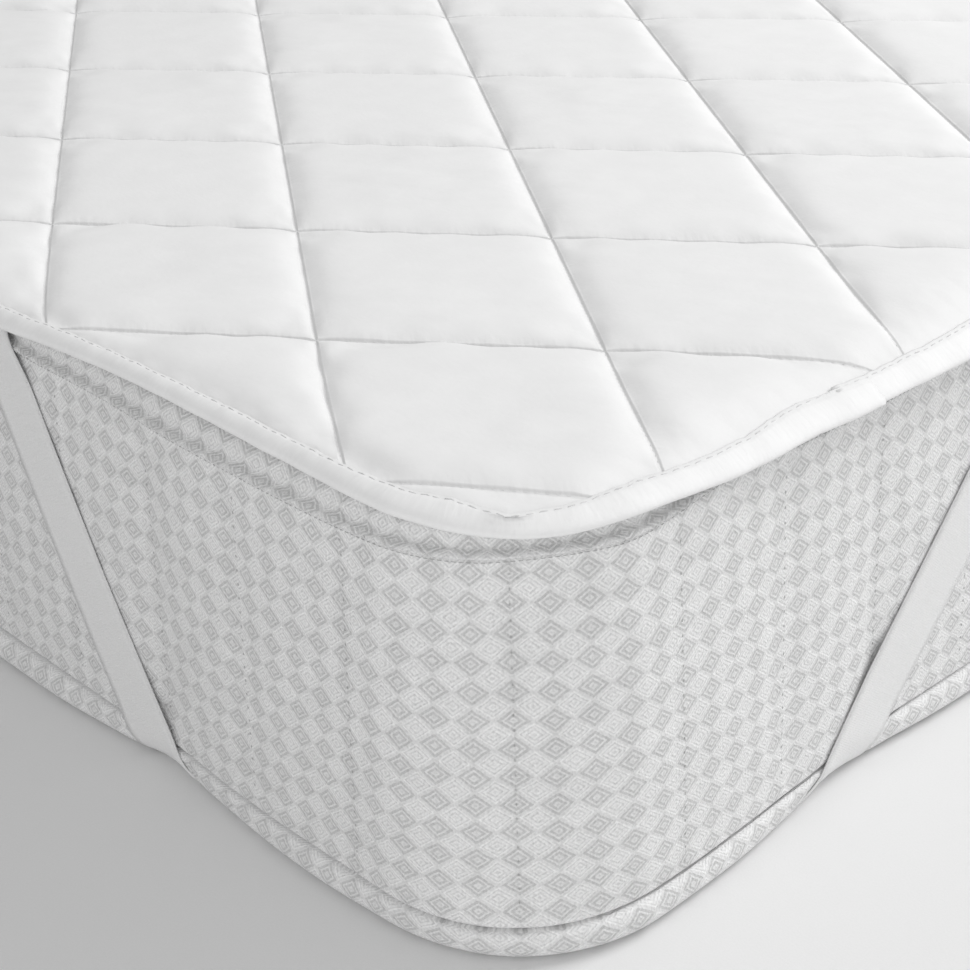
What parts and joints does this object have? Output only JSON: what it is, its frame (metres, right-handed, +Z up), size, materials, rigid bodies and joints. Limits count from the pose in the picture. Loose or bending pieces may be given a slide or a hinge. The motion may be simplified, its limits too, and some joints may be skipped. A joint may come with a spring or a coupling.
{
  "type": "mattress topper on mattress",
  "caption": "Diamond-quilted mattress topper with bound edge and flat elastic corner straps, fitted over a plain ticking mattress with rounded corners.",
  "frame": {"origin": "middle of the mattress's underside, on the surface it rests on", "axes": "+Y along the long side of the mattress, +X across its width, +Z up"},
  "size_m": [1.0204, 2.0204, 0.2467],
  "materials": {
    "white_cotton": "smooth matt white cotton, quilted in diamonds",
    "bias_cotton": "folded white cotton binding, topstitched",
    "woven_elastic": "flat woven elastic with fine cross ribs",
    "ticking": "light grey jacquard ticking in small nested diamonds"
  },
  "bodies": {
    "root": {"topper_pad": "white_cotton", "edge_binding": "bias_cotton", "corner_strap_foot_right": "woven_elastic", "corner_strap_foot_left": "woven_elastic", "corner_strap_head_right": "woven_elastic", "corner_strap_head_left": "woven_elastic", "mattress_border": "ticking", "mattress_top_panel": "ticking", "mattress_base_panel": "ticking"}
  },
  "joints": []
}
